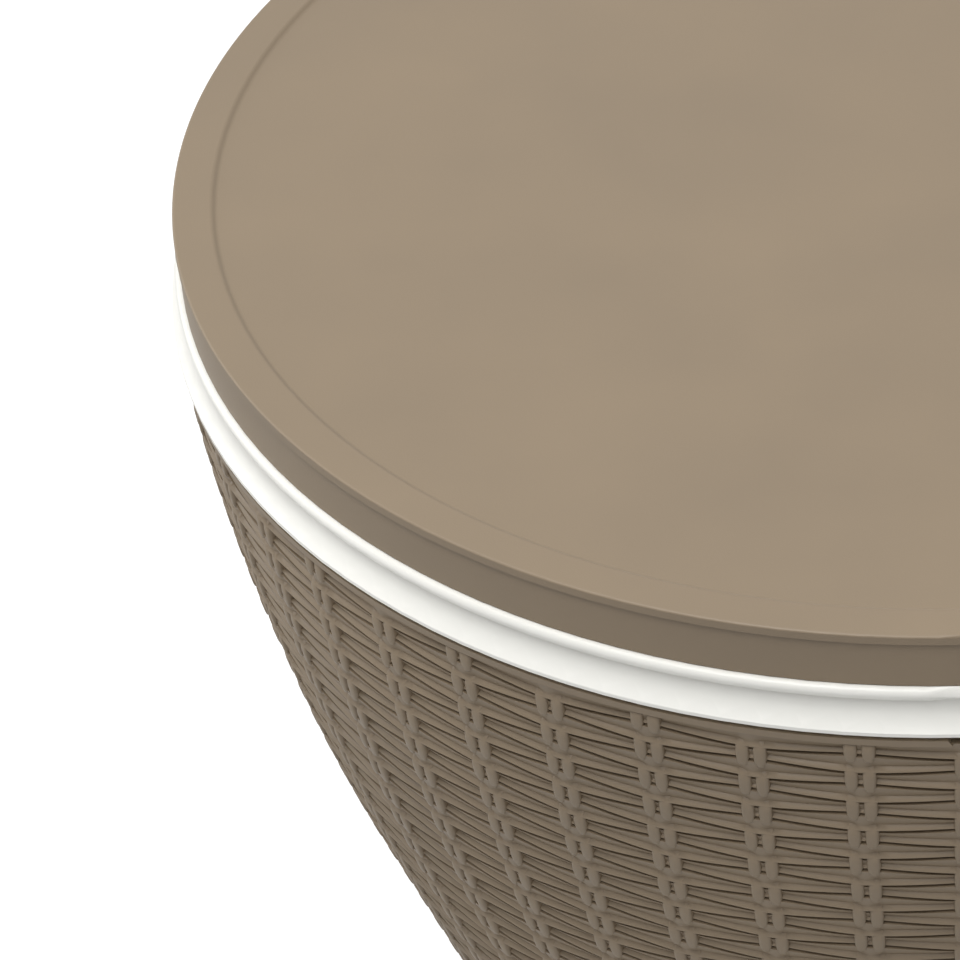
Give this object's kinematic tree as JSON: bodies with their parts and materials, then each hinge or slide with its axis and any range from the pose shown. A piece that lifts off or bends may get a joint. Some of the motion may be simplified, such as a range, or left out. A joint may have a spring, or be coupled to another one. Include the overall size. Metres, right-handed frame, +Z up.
{
  "type": "cooler table with lid",
  "caption": "Round outdoor side table whose wicker-look bowl is a drinks cooler; the lid is the tabletop, lifts on a centre post and twists to lock at bar height.",
  "frame": {"origin": "centre of the footprint, on the floor under the feet", "axes": "+Z up along the centre column, -Y to the front, +Y to the drain at the back"},
  "size_m": [0.495, 0.495, 0.57],
  "materials": {
    "taupe_plastic": "fine-grained moulded resin, taupe",
    "white_plastic": "smooth moulded resin, warm white",
    "post_plastic": "moulded resin, dark taupe",
    "base_plastic": "moulded resin, dark brown",
    "nylon": "natural nylon",
    "rubber": "matt black",
    "steel": "stainless, plain",
    "spring_steel": "spring steel, blued"
  },
  "bodies": {
    "cooler_body": {"column_tube": "white_plastic", "column_foot_screws": "steel", "twist_lock_collar": "post_plastic", "collar_screws": "steel", "tub": "white_plastic", "bowl_shell": "taupe_plastic", "rim_clips": "nylon", "waist_ring": "taupe_plastic", "waist_screws": "steel", "base_shell": "taupe_plastic", "base_floor": "base_plastic", "floor_screws": "steel", "drain_spout": "white_plastic", "drain_gasket": "rubber", "drain_spacer": "nylon", "drain_nut": "post_plastic", "foot_pad_1": "rubber", "foot_pad_2": "rubber", "foot_pad_3": "rubber", "foot_pad_4": "rubber", "foot_pad_5": "rubber", "foot_pad_6": "rubber"},
    "glide": {"glide_ring": "nylon"},
    "tabletop": {"tabletop_panel": "taupe_plastic", "tabletop_underside": "taupe_plastic", "lid_screws": "steel", "post_flange": "post_plastic", "flange_screws": "steel", "lid_post": "post_plastic", "lock_lugs": "nylon", "lug_retainer": "nylon", "post_end_cap": "nylon", "glide_clip": "spring_steel"},
    "drain_seal": {"drain_seal": "rubber"},
    "drain_cap": {"drain_cap": "post_plastic"}
  },
  "joints": [
    {"name": "lid_lift", "type": "slide", "parent": "cooler_body", "child": "glide", "axis": [0, 0, 1], "range_m": [0, 0.27]},
    {"name": "lid_turn", "type": "hinge", "parent": "glide", "child": "tabletop", "pos_m": [0, 0, 0.105], "axis": [0, 0, 1], "range_deg": [0, 45]},
    {"name": "drain_cap_travel", "type": "slide", "parent": "cooler_body", "child": "drain_seal", "axis": [0, 0.9342, -0.3567], "range_m": [0, 0.0075]},
    {"name": "drain_cap_turn", "type": "hinge", "parent": "drain_seal", "child": "drain_cap", "pos_m": [0, 0.18446, 0.30553], "axis": [0, 0.9342, -0.3567], "range_deg": [0, 900]}
  ],
  "couplings": [
    {"joint": "drain_cap_travel", "follows": "drain_cap_turn", "m_per_rad": 0.00047746}
  ]
}
